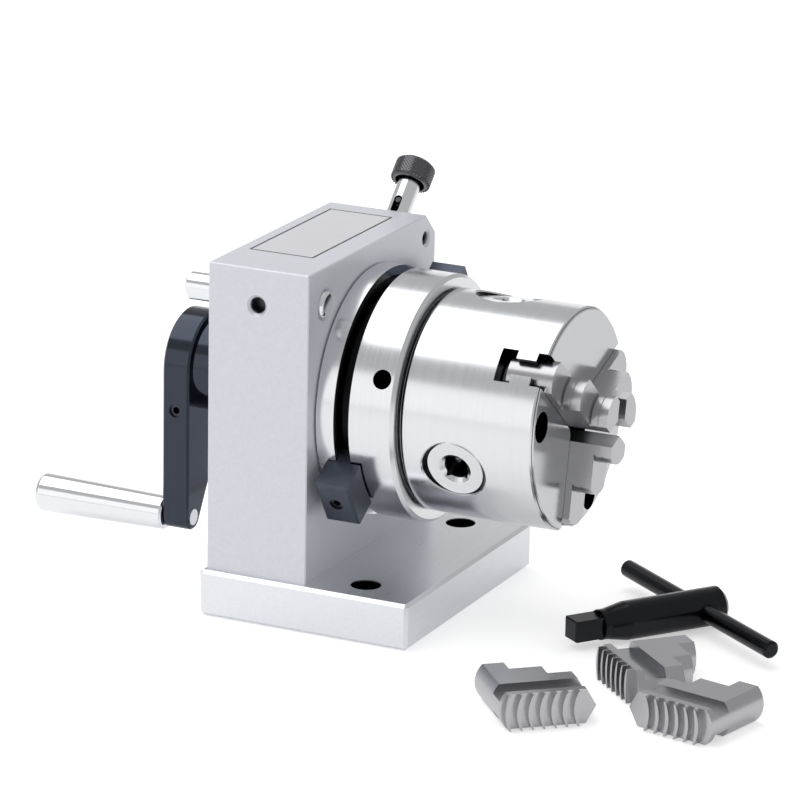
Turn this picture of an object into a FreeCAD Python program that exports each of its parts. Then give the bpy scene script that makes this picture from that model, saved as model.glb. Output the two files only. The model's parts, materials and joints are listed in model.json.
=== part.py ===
import math
import os
import re

import FreeCAD
import Part
import Sketcher

# A punch former for dressing punches and small round work on a grinding machine. A block on a ground
# base plate carries a spindle; the spindle is turned by a crank, held at any of 24 places by an index
# plunger, or swung between two stop dogs, and it carries a three-jaw scroll chuck on its nose.
#
# Axes: +X runs along the spindle towards the chuck's face, +Z is up, +Y completes the frame.
# Origin: the middle of the base plate's underside. The block's front face is the plane X = 0.
# Stations along X are written as names too, each worked out from the thicknesses before it.

document = FreeCAD.newDocument("PunchFormer")
sheet = document.addObject("Spreadsheet::Sheet", "Sizes")

SIZES = {
    # Base plate
    "base_half_length": 41, "base_half_width": 53, "base_thick": 17, "base_edge": 1.2,
    "mount_hole_r": 5.5, "mount_hole_x": 18.5, "mount_hole_y": 39.5,
    # Block
    "axis_height": 77, "block_depth": 39.2, "block_half_width": 50.5, "block_far": 52.3,
    "block_top": 130.2, "corner_bevel": 7.8, "block_edge": 0.4,
    "block_back": "=-block_depth",
    "block_bevel_y": "=block_far - corner_bevel",
    "block_bevel_z": "=block_top - corner_bevel",
    # Bare plate in the top
    "plate_length": 64.1, "plate_width": 25, "plate_thick": 0.5, "plate_x": -22, "plate_y": 3.5,
    "plate_gap": 0.2,
    # Screws and dowels that hold the block to the base
    "block_screw_inset": 9.2, "block_screw_y": 37, "block_screw_length": 24, "dowel_y": 44,
    "dowel_r": 2.5, "dowel_length": 24, "dowel_sunk": 0.8, "screw_room": 2,
    # How far a cutting tool runs past the face that it opens
    "past": 1,
    # Metric sizes of the screws
    "six_r": 3, "six_head_r": 5, "six_head": 6, "six_key": 2.9, "six_clear_r": 3.3,
    "six_bore_r": 5.5, "six_sink": 6.8,
    "five_r": 2.5, "five_key": 1.45, "four_r": 2, "four_key": 1.15, "key_depth": 3,
    # Spindle, its bush and its fits
    "fit": 0.03, "slide_fit": 0.05, "journal_r": 25, "bush_wall": 5, "bush_proud": 0.4,
    "thrust_gap": 0.2, "stub_r": 10,
    "bush_r": "=journal_r + bush_wall", "flange_r": 45, "flange_thick": 6.8,
    "flange_back": "=bush_proud + thrust_gap", "flange_front": "=flange_back + flange_thick",
    "journal_back": "=block_back + thrust_gap",
    "pilot_r": 12, "pilot_height": 4,
    # Dovetail groove for the stop dogs, between flange and adapter
    "groove_mouth": 5.7, "groove_undercut": 1.4, "groove_floor_r": 38.75,
    "groove_back": "=flange_front - groove_undercut", "rim_back": "=flange_front + groove_mouth",
    "nose_face": "=rim_back + groove_undercut", "nose_tip": "=nose_face + pilot_height",
    # Index holes
    "index_count": 24, "index_x": -14.4, "index_mouth_r": 3, "index_floor_r": 1.4,
    "index_depth": 4, "index_over": 0.5,
    # Chuck adapter
    "adapter_r": 44.6, "adapter_thick": 16.9, "adapter_bevel": 1.2, "boss_r": 38,
    "boss_height": 1.4, "register_r": 27.5, "register_height": 3.5,
    "rim_front": "=rim_back + adapter_thick", "chuck_back": "=rim_front + boss_height",
    "register_face": "=chuck_back + register_height",
    "bar_hole_r": 3.5, "bar_hole_x": "=rim_front - 5.7", "bar_hole_angle": 157.6,
    "bar_hole_depth": 12.4, "adapter_screw_circle_r": 19, "adapter_screw_first": -10,
    "adapter_screw_length": 18, "adapter_screw_sink": 9.5,
    "adapter_screw_shank": "=adapter_screw_length - block_edge",
    # Chuck body
    "chuck_r": 40, "chuck_length": 50, "chuck_edge": 1.2, "chuck_bore_r": 8,
    "chuck_front": "=chuck_back + chuck_length", "cavity_r": 26.2, "cover_thick": 5.1,
    "cover_front": "=register_face + cover_thick",
    "chuck_screw_circle_r": 33, "chuck_screw_first": 170, "chuck_screw_count": 2,
    "chuck_screw_length": 44, "chuck_screw_depth": 11,
    # Jaw ways
    "way_half_width": 6.3, "way_lip": 4.4, "way_neck": 7.5, "way_foot": 6, "neck_half_width": 3.1,
    "way_gap": 0.15, "jaw_first": 20, "foot_overlap": 3,
    "neck_front": "=chuck_front - way_lip", "neck_back": "=neck_front - way_neck",
    "way_back": "=neck_back - way_foot", "cavity_front": "=way_back + foot_overlap",
    # Scroll plate
    "scroll_pitch": 4, "scroll_rib": 1.8, "scroll_height": 2.6, "scroll_gap": 0.2,
    "scroll_r": 26, "scroll_inner_r": 11.95, "scroll_first_r": 13.4, "scroll_turns": 2.75,
    "hub_r": 11.85, "tube_gap": 0.7,
    "scroll_top": "=cavity_front - scroll_gap", "scroll_floor": "=scroll_top - scroll_height",
    # Bevel gearing
    "gear_teeth": 48, "pinion_teeth": 12, "gear_inner_r": 17, "gear_outer_r": 25.9,
    "tooth_tip": 0.6, "tooth_root": 1.7, "addendum": 0.9, "dedendum": 1.25,
    "pinion_offset": 19.1, "pinion_x": "=chuck_back + pinion_offset", "pinion_first": -40,
    "pitch_slope": "=pinion_teeth / gear_teeth", "gear_rim": 0.6,
    "gear_back": "=pinion_x + scroll_r * pitch_slope + dedendum + gear_rim",
    # Pinions
    "pinion_head_r": 11, "pinion_neck_r": 9, "pinion_fit": 0.1, "pinion_face_r": 38.3,
    "pinion_shoulder_r": 29, "pinion_gear_r": 26.3, "pinion_groove_r": 33,
    "pinion_groove_half": 2.3, "pinion_groove_depth": 1.5, "pinion_edge": 0.5,
    "socket_side": 8, "socket_depth": 11, "socket_mouth_r": 6, "socket_mouth": 1.6,
    "pinion_mouth_r": 12.3, "pinion_mouth": 2.2,
    "groove_in": "=pinion_groove_r - pinion_groove_half",
    "groove_out": "=pinion_groove_r + pinion_groove_half",
    "pinion_back_r": "=pinion_shoulder_r + pinion_fit",
    "pinion_waist_r": "=pinion_head_r - pinion_groove_depth",
    "pinion_screw_length": "=pinion_offset - pinion_waist_r - scroll_gap",
    "pinion_rim": "=pinion_face_r - pinion_edge", "pinion_top_r": "=pinion_head_r - pinion_edge",
    # Jaws
    "jaw_tip_r": 3.7, "jaw_end_r": 37.5, "step_one_r": 25.6, "step_two_r": 13.9,
    "step_one": 2.6, "step_two": 7, "step_three": 6.4, "riser_r": 8.5, "tooth_thick": 1.4,
    "tooth_outer_curve": 13, "tooth_inner_curve": 26, "tooth_first_r": 9, "tooth_gap": 0.3,
    "jaw_float": 0.1, "tip_half_angle": 60, "relief": 0.5, "groove_wide": 0.6,
    "groove_deep": 0.35,
    # Rear collar, crank and handle
    "collar_gap": 0.25, "collar_r": 17.3, "collar_length": 24.05, "collar_boss_r": 15.8,
    "collar_screw_length": 7, "arm_thick": 10.6, "arm_head_r": 19.4, "arm_tip_r": 4.7,
    "arm_lean": 14.7, "arm_drop": 55.1, "arm_edge": 0.7, "clamp_drop": 14.2, "clamp_length": 7.8,
    "collar_front": "=block_back - collar_gap", "arm_front": "=collar_front - collar_length",
    "arm_back": "=arm_front - arm_thick", "arm_middle": "=arm_front - arm_thick / 2",
    "stub_short": 0.3, "stub_back": "=arm_back + stub_short", "arm_slope": "=atan(arm_drop / arm_lean)",
    "flank_head_y": "=-arm_head_r * cos(2 * arm_slope)",
    "flank_head_z": "=axis_height - arm_head_r * sin(2 * arm_slope)",
    "flank_tip_y": "=-arm_lean - arm_tip_r * cos(2 * arm_slope)",
    "flank_tip_z": "=axis_height - arm_drop - arm_tip_r * sin(2 * arm_slope)",
    "arm_near_y": "=-arm_head_r", "tip_y": "=-arm_lean", "tip_z": "=axis_height - arm_drop",
    "axle_r": 3, "axle_in_grip": 42, "axle_room": 1, "grip_gap": 0.2, "grip_length": 52.4,
    "grip_inner_r": 6.2,
    "grip_outer_r": 7.2, "grip_edge": 0.7, "grip_dome": 2,
    "grip_front": "=arm_back - grip_gap", "grip_back": "=grip_front - grip_length",
    "axle_back": "=grip_front - axle_in_grip", "grip_bottom": "=axle_back - axle_room",
    "grip_shoulder": "=grip_front - grip_edge", "grip_mouth_r": "=grip_inner_r - grip_edge",
    "grip_bore_r": "=axle_r + slide_fit",
    # Stop pin and its clamp screw
    "stop_r": 5, "stop_y": -37.4, "stop_z": 116.7, "stop_front": 1.3, "stop_back": -53.5,
    "stop_dome": 1.4, "stop_chamfer": 1, "stop_mouth_r": 6.15, "stop_mouth": 1.1,
    "stop_screw_x": -20.2, "stop_screw_sunk": 1.5, "side_mouth_r": 3.85, "side_mouth": 0.9,
    "stop_bore_r": "=stop_r + slide_fit",
    "stop_grub_length": "=block_half_width + stop_y - stop_r - stop_screw_sunk",
    "stop_end": "=stop_back + stop_chamfer",
    "stop_end_r": "=stop_r - stop_chamfer",
    # Stop dogs
    "dog_near_angle": -148.4, "dog_far_angle": 31.6, "dog_back": 4, "dog_front": 17,
    "dog_top_r": 55.8, "dog_half_width": 9.45, "dog_under_r": 45.3, "dog_edge": 0.8,
    "dog_gap": 0.15, "dog_screw_length": 15.5, "dog_screw_sunk": 0.8,
    "dog_ring_r": "=dog_top_r + dog_half_width",
    "foot_gap": 0.5, "foot_bottom_r": "=groove_floor_r + foot_gap", "foot_back": "=groove_back + dog_gap * 2",
    "foot_front": "=nose_face - dog_gap * 2", "neck_near": "=flange_front + dog_gap",
    "neck_far": "=rim_back - dog_gap", "foot_top_r": "=adapter_r - thrust_gap",
    # Index plunger, measured outward from the spindle's axis
    "plunger_angle": 45, "sleeve_r": 4.3, "sleeve_bore_r": 2.8, "sleeve_bottom": 46,
    "sleeve_top": 85.7, "sleeve_cap": 1.5, "stem_r": 1.5, "pin_r": 2.75, "pin_park": 25.4,
    "pin_taper": 4, "pin_tip_r": 1.25, "pin_shoulder": 62, "land_bottom": 73.1,
    "land_top": 77.1, "cross_r": 1.05, "cross_at": 75.1, "cross_half": 3.9,
    "slot_half": 1.5, "slot_bottom": 69.6, "slot_top": 76.8, "knob_r": 7.3, "knob_bottom": 84.8,
    "knob_top": 93, "knob_edge": 0.9, "knob_bore_r": 5.6, "knob_bore": 5.5, "pin_top": 92,
    "spring_r": 2.25, "spring_wire": 0.3, "spring_turns": 5, "sleeve_mouth": 0.6,
    "sleeve_screw_length": 8.8, "front_mouth_r": 3.4, "front_mouth": 0.7,
    "sleeve_shoulder": "=sleeve_top - sleeve_cap", "pin_cone": "=pin_park + pin_taper",
    "stem_bore_r": "=stem_r + slide_fit", "window_gap": 0.15, "bush_window_r": "=pin_r + window_gap",
    "knob_floor": "=knob_bottom + knob_bore", "knob_low": "=knob_bottom + knob_edge",
    "knob_high": "=knob_top - knob_edge", "knob_face_r": "=knob_r - knob_edge",
    "sleeve_lip": "=sleeve_top - sleeve_mouth", "sleeve_lip_r": "=sleeve_r - sleeve_mouth",
    "sleeve_screw_r": 62.9,
    # Chuck key, lying on the table beside the base
    "key_tip": 7.8, "key_tip_length": 12, "key_neck_r": 5.5, "key_r": 7, "key_neck": 14,
    "key_shoulder": 22, "key_length": 62, "key_dome": 1.6, "key_x": 90, "key_y": -22.2,
    "key_turn": 54, "bar_r": 3.2, "bar_length": 98, "bar_at": 52.5, "bar_edge": 0.9,
    "key_top": "=key_length - key_dome", "key_top_r": "=key_r - key_dome",
    "bar_half": "=bar_length / 2", "key_half": "=key_tip / 2",
    "bar_left": "=-bar_half", "bar_low": "=bar_edge - bar_half",
    "bar_high": "=bar_half - bar_edge", "bar_end_r": "=bar_r - bar_edge",
    # Spare outside jaws: place of the middle of each tooth face, and the way its steps point
    "spare_one_x": 114.5, "spare_one_y": -96, "spare_one_turn": 131,
    "spare_two_x": 154, "spare_two_y": -84.5, "spare_two_turn": 77.7,
    "spare_three_x": 122.5, "spare_three_y": -54, "spare_three_turn": 47,
    "spare_step_one_r": 13.4, "spare_step_two_r": 24.9, "spare_riser_r": 9,
}

for row, (name, amount) in enumerate(SIZES.items(), 1):
    sheet.set("A%d" % row, name)
    sheet.set("B%d" % row, str(amount))
    sheet.setAlias("B%d" % row, name)
document.recompute()

UP = FreeCAD.Rotation()
ALONG_X = FreeCAD.Rotation(FreeCAD.Vector(0, 0, 1), FreeCAD.Vector(1, 0, 0))
FUNCTIONS = ("cos", "sin", "sqrt")


def size(name):
    """The number behind a name of the sheet."""
    return float(sheet.get(name))


def total(term):
    """The number behind a sum of names, such as "block_back + block_edge"."""
    amount = 0
    sign = 1
    for word in term.split():
        if word in "+-":
            sign = 1 if word == "+" else -1
        else:
            amount += sign * size(word)
    return amount


def formula(term):
    """The same words as an expression that reads the sheet."""
    return re.sub(r"\b[a-z]\w*", lambda m: m[0] if m[0] in FUNCTIONS else "Sizes." + m[0], str(term))


def bind(piece, **terms):
    for name, term in terms.items():
        piece.setExpression(name, formula(term))


def put(piece, at, turn=UP):
    """Places a piece at three terms, turned as given."""
    piece.Placement = FreeCAD.Placement(FreeCAD.Vector(), turn)
    for axis, term in zip("xyz", at):
        piece.setExpression("Placement.Base." + axis, formula(term))


def around(angle):
    """The outward direction at an angle about the spindle, from +Y towards +Z."""
    return FreeCAD.Vector(0, math.cos(math.radians(angle)), math.sin(math.radians(angle)))


def aim(direction):
    return FreeCAD.Rotation(FreeCAD.Vector(1, 0, 0), direction)


def outline(body, name, role, corners):
    """A closed sketch whose corners sit at sums of named sizes."""
    sketch = body.newObject("Sketcher::SketchObject", name)
    plane = next(item for item in body.Origin.OriginFeatures if item.Role == role)
    sketch.AttachmentSupport = [(plane, "")]
    sketch.MapMode = "FlatFace"
    points = [FreeCAD.Vector(total(a) if a != "0" else 0, total(b) if b != "0" else 0, 0)
              for a, b in corners]
    count = len(points)
    for i in range(count):
        sketch.addGeometry(Part.LineSegment(points[i], points[(i + 1) % count]), False)
    for i in range(count):
        sketch.addConstraint(Sketcher.Constraint("Coincident", i, 2, (i + 1) % count, 1))
    for i, pair in enumerate(corners):
        for kind, axis, term in (("DistanceX", -2, pair[0]), ("DistanceY", -1, pair[1])):
            if term == "0":
                sketch.addConstraint(Sketcher.Constraint("PointOnObject", i, 1, axis))
            else:
                rule = Sketcher.Constraint(kind, -1, 1, i, 1, total(term))
                sketch.setExpression("Constraints[%d]" % sketch.addConstraint(rule), formula(term))
    sketch.Visibility = False
    return sketch


def turned(name, corners, at=("0", "0", "axis_height"), turn=UP):
    """A turned piece: a half section of (along, radius) corners spun about the local X axis."""
    body = document.addObject("PartDesign::Body", name)
    sketch = outline(body, name + "_section", "XZ_Plane", corners)
    spin = body.newObject("PartDesign::Revolution", name + "_turning")
    spin.Profile = sketch
    spin.ReferenceAxis = (sketch, ["H_Axis"])
    spin.Angle = 360
    put(body, at, turn)
    document.recompute()
    return body


def padded(name, role, corners, length, at=("0", "0", "0"), turn=UP, back=False):
    """A plate or block: an outline pulled out by a named length."""
    body = document.addObject("PartDesign::Body", name)
    pad = body.newObject("PartDesign::Pad", name + "_pad")
    pad.Profile = outline(body, name + "_outline", role, corners)
    pad.setExpression("Length", formula(length))
    pad.Reversed = back
    body.Tip = pad
    put(body, at, turn)
    document.recompute()
    return body


def eased(body, term, wanted, kind="Chamfer"):
    """Breaks the edges of a body for which wanted(edge) holds, in the body's own frame."""
    base = body.Tip
    names = ["Edge%d" % (i + 1) for i, edge in enumerate(base.Shape.Edges) if wanted(edge)]
    ease = body.newObject("PartDesign::" + kind, body.Name + "_" + kind.lower())
    ease.Base = (base, names)
    ease.setExpression("Size" if kind == "Chamfer" else "Radius", formula(term))
    body.Tip = ease
    document.recompute()
    return body


def rod(name, radius, length, at, turn=ALONG_X):
    piece = document.addObject("Part::Cylinder", name)
    bind(piece, Radius=radius, Height=length)
    put(piece, at, turn)
    return piece


def cone(name, radius, end_radius, length, at, turn=ALONG_X):
    piece = document.addObject("Part::Cone", name)
    bind(piece, Radius1=radius, Radius2=end_radius, Height=length)
    put(piece, at, turn)
    return piece


def box(name, lengths, at, turn=UP):
    piece = document.addObject("Part::Box", name)
    bind(piece, Length=lengths[0], Width=lengths[1], Height=lengths[2])
    put(piece, at, turn)
    return piece


def joined(label, pieces):
    whole = document.addObject("Part::MultiFuse", label)
    whole.Shapes = pieces
    return whole


def cut(label, blank, tools):
    """The blank less all its tools, under the piece's own name."""
    piece = document.addObject("Part::Cut", label)
    piece.Label = label
    piece.Base = blank
    piece.Tool = tools[0] if len(tools) == 1 else joined(label + "_tools", tools)
    document.recompute()
    return piece


def placed(shape, at, turn):
    copy = shape.copy()
    copy.Placement = FreeCAD.Placement(at, turn)
    return copy


def group(label, source, places):
    """Equal pieces under one name: copies of the source at (place, rotation) pairs."""
    piece = document.addObject("Part::Feature", label)
    piece.Label = label
    solids = [placed(source.Shape, at, turn) for at, turn in places]
    piece.Shape = Part.makeCompound(solids) if len(solids) > 1 else solids[0]
    return piece


def socket(name, key):
    """The hexagonal hole in a screw whose top lies at local X = 0."""
    tool = document.addObject("Part::Prism", name)
    tool.Polygon = 6
    bind(tool, Circumradius=key, Height="key_depth")
    put(tool, ("0 - key_depth", "0", "0"), ALONG_X)
    return tool


def cap_screw(name, length):
    blank = turned(name + "_blank", [
        ("0", "0"), ("0", "six_head_r"), ("- six_head", "six_head_r"), ("- six_head", "six_r"),
        ("- six_head - " + length, "six_r"), ("- six_head - " + length, "0")], ("0", "0", "0"))
    return cut(name, blank, [socket(name + "_key", "six_key")])


def grub_screw(name, radius, length, key):
    blank = turned(name + "_blank", [
        ("0", "0"), ("0", radius), ("block_edge - " + length, radius),
        ("- " + length, radius + " - block_edge"), ("- " + length, "0")], ("0", "0", "0"))
    return cut(name, blank, [socket(name + "_key", key)])


def thirds(first, count=3):
    """The angles of up to three equal pieces, a third of a turn apart."""
    return [size(first) + 120 * i for i in range(count)]


def at_radius(x, radius, angle):
    return FreeCAD.Vector(x, 0, size("axis_height")) + around(angle) * radius


# Base plate
plate = padded("base_blank", "XY_Plane", [
    ("- base_half_length", "- base_half_width"), ("base_half_length", "- base_half_width"),
    ("base_half_length", "base_half_width"), ("- base_half_length", "base_half_width")],
    "base_thick")
eased(plate, "base_edge", lambda edge: True)
tools = []
screw_xs = ("block_back + block_screw_inset", "- block_screw_inset")
for i, side in enumerate(("-", "")):
    tools.append(rod("mount_hole_%d" % i, "mount_hole_r", "base_thick",
                     ("mount_hole_x", side + "mount_hole_y", "0"), UP))
    tools.append(rod("dowel_hole_%d" % i, "dowel_r", "base_thick",
                     ("block_back / 2", side + "dowel_y", "0"), UP))
    for k, x in enumerate(screw_xs):
        place = (x, side + "block_screw_y", "0")
        tools.append(rod("screw_sink_%d%d" % (i, k), "six_bore_r", "six_sink", place, UP))
        tools.append(rod("screw_way_%d%d" % (i, k), "six_clear_r", "base_thick", place, UP))
base_plate = cut("base_plate", plate, tools)

# Block
blank = padded("block_blank", "YZ_Plane", [
    ("- block_half_width", "base_thick"), ("block_far", "base_thick"),
    ("block_far", "block_bevel_z"), ("block_bevel_y", "block_top"),
    ("- block_half_width", "block_top")], "block_depth", back=True)
just_above_base = size("base_thick") + size("past")
eased(blank, "block_edge", lambda edge: min(v.Z for v in edge.Vertexes) > just_above_base
      or abs(edge.Vertexes[0].Z - edge.Vertexes[1].Z) > size("past"))
PLUNGE = aim(around(size("plunger_angle"))).multiply(ALONG_X)
NEAR = FreeCAD.Rotation(FreeCAD.Vector(0, 0, 1), FreeCAD.Vector(0, 1, 0))
out_y = "cos(plunger_angle)"
out_z = "sin(plunger_angle)"


def on_plunger(radius):
    return ("index_x", "(%s) * %s" % (radius, out_y), "axis_height + (%s) * %s" % (radius, out_z))


stop_at = ("stop_y", "stop_z")
sleeve_at = ("sleeve_screw_r * " + out_y, "axis_height + sleeve_screw_r * " + out_z)
tools = [
    rod("spindle_way", "bush_r", "block_depth", ("block_back", "0", "axis_height")),
    rod("stop_way", "stop_bore_r", "block_depth", ("block_back",) + stop_at),
    cone("stop_way_mouth", "stop_bore_r", "stop_mouth_r", "stop_mouth", ("-stop_mouth",) + stop_at),
    rod("side_way", "six_r", "block_half_width + stop_y", ("stop_screw_x", "-block_half_width",
        "stop_z"), NEAR),
    cone("side_way_mouth", "side_mouth_r", "six_r", "side_mouth", ("stop_screw_x",
         "-block_half_width", "stop_z"), NEAR),
    rod("front_way", "five_r", "-index_x", ("index_x",) + sleeve_at),
    cone("front_way_mouth", "five_r", "front_mouth_r", "front_mouth", ("-front_mouth",) + sleeve_at),
    rod("sleeve_way", "sleeve_r", "sleeve_top - sleeve_bottom", on_plunger("sleeve_bottom"), PLUNGE),
    rod("pin_way", "bush_window_r", "sleeve_bottom", on_plunger("0"), PLUNGE),
    box("plate_recess", ("plate_width + plate_gap * 2", "plate_length + plate_gap * 2",
        "plate_thick"), ("plate_x - plate_width / 2 - plate_gap",
        "plate_y - plate_length / 2 - plate_gap", "block_top - plate_thick")),
]
for i, side in enumerate(("-", "")):
    tools.append(rod("dowel_seat_%d" % i, "dowel_r", "dowel_length", ("block_back / 2",
                     side + "dowel_y", "dowel_sunk"), UP))
    for k, x in enumerate(screw_xs):
        tools.append(rod("screw_seat_%d%d" % (i, k), "six_r",
                         "block_screw_length + six_head + screw_room",
                         (x, side + "block_screw_y", "0"), UP))
body_block = cut("body_block", blank, tools)

DOWN = aim(FreeCAD.Vector(0, 0, -1))
source = cap_screw("block_screw", "block_screw_length")
places = [(FreeCAD.Vector(x, y, size("six_sink") - size("six_head")), DOWN)
          for x in (size("block_back") + size("block_screw_inset"), -size("block_screw_inset"))
          for y in (-size("block_screw_y"), size("block_screw_y"))]
base_screws = group("base_screws", source, places)

source = turned("dowel", [
    ("0", "0"), ("0", "dowel_r - block_edge"), ("block_edge", "dowel_r"),
    ("dowel_length - block_edge", "dowel_r"), ("dowel_length", "dowel_r - block_edge"),
    ("dowel_length", "0")], ("0", "0", "0"))
base_dowels = group("base_dowels", source, [
    (FreeCAD.Vector(size("block_back") / 2, side * size("dowel_y"), size("dowel_sunk")),
     aim(FreeCAD.Vector(0, 0, 1)))
    for side in (-1, 1)])

top_plate = box("top_plate", ("plate_width", "plate_length", "plate_thick"), (
    "plate_x - plate_width / 2", "plate_y - plate_length / 2", "block_top - plate_thick"))

# Bush and spindle
bush = turned("bush_blank", [
    ("bush_proud", "journal_r + slide_fit"), ("bush_proud", "bush_r"), ("block_back", "bush_r"),
    ("block_back", "journal_r + slide_fit")])
spindle_bush = cut("spindle_bush", bush, [
    rod("bush_window", "bush_window_r", "sleeve_bottom", on_plunger("0"), PLUNGE)])

shaft = turned("spindle_blank", [
    ("nose_tip", "0"), ("nose_tip", "pilot_r"), ("nose_face", "pilot_r"), ("nose_face", "groove_floor_r"),
    ("groove_back", "groove_floor_r"), ("flange_front", "flange_r"), ("flange_back", "flange_r"),
    ("flange_back", "journal_r"), ("journal_back", "journal_r"), ("journal_back", "stub_r"),
    ("stub_back", "stub_r"), ("stub_back", "0")])
tools = []
for i in range(int(size("index_count"))):
    angle = size("plunger_angle") + 360 / size("index_count") * i
    tool = document.addObject("Part::Wedge", "index_notch_%d" % i)
    bind(tool, Xmin="-index_floor_r", Xmax="index_floor_r", Ymin="0", Ymax="index_depth + index_over",
         Zmin="-index_floor_r", Zmax="index_floor_r", X2min="-index_mouth_r", Z2min="-index_mouth_r",
         X2max="index_mouth_r", Z2max="index_mouth_r")
    put(tool, ("index_x", "(journal_r - index_depth) * cos(%s)" % angle,
               "axis_height + (journal_r - index_depth) * sin(%s)" % angle),
        FreeCAD.Rotation(FreeCAD.Vector(1, 0, 0), angle))
    tools.append(tool)
for i, angle in enumerate(thirds("adapter_screw_first")):
    tools.append(rod("adapter_screw_seat_%d" % i, "six_r", "adapter_screw_length", (
        "register_face - adapter_screw_sink - adapter_screw_length",
        "adapter_screw_circle_r * cos(%s)" % angle,
        "axis_height + adapter_screw_circle_r * sin(%s)" % angle)))
spindle = cut("spindle", shaft, tools)

# Chuck adapter
chuck_screw_angles = thirds("chuck_screw_first", int(size("chuck_screw_count")))
ring = turned("adapter_blank", [
    ("register_face", "chuck_bore_r"), ("register_face", "register_r"),
    ("chuck_back", "register_r"), ("chuck_back", "boss_r"), ("rim_front", "boss_r"),
    ("rim_front", "adapter_r - adapter_bevel"), ("rim_front - adapter_bevel", "adapter_r"),
    ("rim_back", "adapter_r"), ("nose_face", "groove_floor_r"), ("nose_face", "pilot_r + fit"),
    ("nose_tip + fit", "pilot_r + fit"), ("nose_tip + fit", "chuck_bore_r")])
angle = size("bar_hole_angle")
tools = [rod("bar_hole", "bar_hole_r", "bar_hole_depth + past", (
    "bar_hole_x", "(adapter_r - bar_hole_depth) * cos(bar_hole_angle)",
    "axis_height + (adapter_r - bar_hole_depth) * sin(bar_hole_angle)"),
    aim(around(angle)).multiply(ALONG_X))]
for i, angle in enumerate(thirds("adapter_screw_first")):
    place = ("adapter_screw_circle_r * cos(%s)" % angle,
             "axis_height + adapter_screw_circle_r * sin(%s)" % angle)
    tools.append(rod("adapter_screw_way_%d" % i, "six_clear_r", "register_face - nose_face",
                     ("nose_face",) + place))
    tools.append(rod("adapter_screw_sink_%d" % i, "six_bore_r", "adapter_screw_sink",
                     ("register_face - adapter_screw_sink",) + place))
for i, angle in enumerate(chuck_screw_angles):
    tools.append(rod("chuck_screw_seat_%d" % i, "six_r", "chuck_screw_depth + past", (
        "chuck_back - chuck_screw_depth - past", "chuck_screw_circle_r * cos(%s)" % angle,
        "axis_height + chuck_screw_circle_r * sin(%s)" % angle)))
chuck_adapter = cut("chuck_adapter", ring, tools)

FORWARD = UP
source = cap_screw("adapter_screw", "adapter_screw_shank")
adapter_screws = group("adapter_screws", source, [
    (at_radius(size("register_face") - size("adapter_screw_sink") + size("six_head"),
               size("adapter_screw_circle_r"), angle), FORWARD)
    for angle in thirds("adapter_screw_first")])

# Chuck body with three T-shaped jaw ways
blank = turned("chuck_blank", [
    ("chuck_back", "register_r + fit"), ("chuck_back", "chuck_r - block_edge"),
    ("chuck_back + block_edge", "chuck_r"), ("chuck_front - chuck_edge", "chuck_r"),
    ("chuck_front", "chuck_r - chuck_edge"), ("chuck_front", "chuck_bore_r"),
    ("cavity_front", "chuck_bore_r"), ("cavity_front", "cavity_r"), ("cover_front", "cavity_r"),
    ("cover_front", "register_r + fit")])
tools = []
WAYS = (("foot", "way_back", "way_foot", "way_half_width"),
        ("neck", "neck_back", "way_neck", "neck_half_width"),
        ("lip", "neck_front", "way_lip + past", "way_half_width"))
for i, angle in enumerate(thirds("jaw_first")):
    turn = FreeCAD.Rotation(FreeCAD.Vector(1, 0, 0), angle)
    for word, start, depth, half in WAYS:
        tools.append(box("way_%s_%d" % (word, i), (depth, "chuck_r + past", half + " * 2"), (
            start, "%s * sin(%s)" % (half, angle), "axis_height - %s * cos(%s)" % (half, angle)), turn))
for i, angle in enumerate(thirds("pinion_first")):
    turn = aim(around(angle)).multiply(ALONG_X)

    def outward(radius):
        return ("pinion_x", "(%s) * cos(%s)" % (radius, angle),
                "axis_height + (%s) * sin(%s)" % (radius, angle))
    tools.append(rod("pinion_way_%d" % i, "pinion_head_r + pinion_fit",
                     "chuck_r - pinion_shoulder_r + past", outward("pinion_shoulder_r"), turn))
    tools.append(rod("pinion_neck_way_%d" % i, "pinion_neck_r + pinion_fit",
                     "pinion_shoulder_r - scroll_first_r", outward("scroll_first_r"), turn))
    tools.append(cone("pinion_mouth_%d" % i, "pinion_head_r", "pinion_mouth_r + past",
                      "pinion_mouth + past", outward("chuck_r - pinion_mouth"), turn))
    tools.append(rod("pinion_screw_way_%d" % i, "four_r", "pinion_offset - pinion_waist_r", (
        "chuck_back", "pinion_groove_r * cos(%s)" % angle,
        "axis_height + pinion_groove_r * sin(%s)" % angle)))
for i, angle in enumerate(chuck_screw_angles):
    place = ("chuck_screw_circle_r * cos(%s)" % angle,
             "axis_height + chuck_screw_circle_r * sin(%s)" % angle)
    tools.append(rod("chuck_screw_way_%d" % i, "six_clear_r", "chuck_length", ("chuck_back",) + place))
    tools.append(rod("chuck_screw_sink_%d" % i, "six_bore_r", "chuck_length", (
        "chuck_back - chuck_screw_depth + chuck_screw_length",) + place))
chuck_body = cut("chuck_body", blank, tools)

source = cap_screw("chuck_screw", "chuck_screw_length")
chuck_screws = group("chuck_screws", source, [
    (at_radius(size("chuck_back") - size("chuck_screw_depth") + size("chuck_screw_length")
               + size("six_head"), size("chuck_screw_circle_r"), angle), FORWARD)
    for angle in chuck_screw_angles])

chuck_cover = turned("chuck_cover", [
    ("register_face", "chuck_bore_r"), ("register_face", "register_r"),
    ("cover_front", "register_r"), ("cover_front", "hub_r"), ("scroll_floor - tube_gap", "hub_r"),
    ("scroll_floor - tube_gap", "chuck_bore_r")])

source = grub_screw("pinion_screw", "four_r", "pinion_screw_length", "four_key")
BACKWARD = aim(FreeCAD.Vector(-1, 0, 0))
pinion_screws = group("pinion_screws", source, [
    (at_radius(size("chuck_back"), size("pinion_groove_r"), angle), BACKWARD)
    for angle in thirds("pinion_first")])


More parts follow.
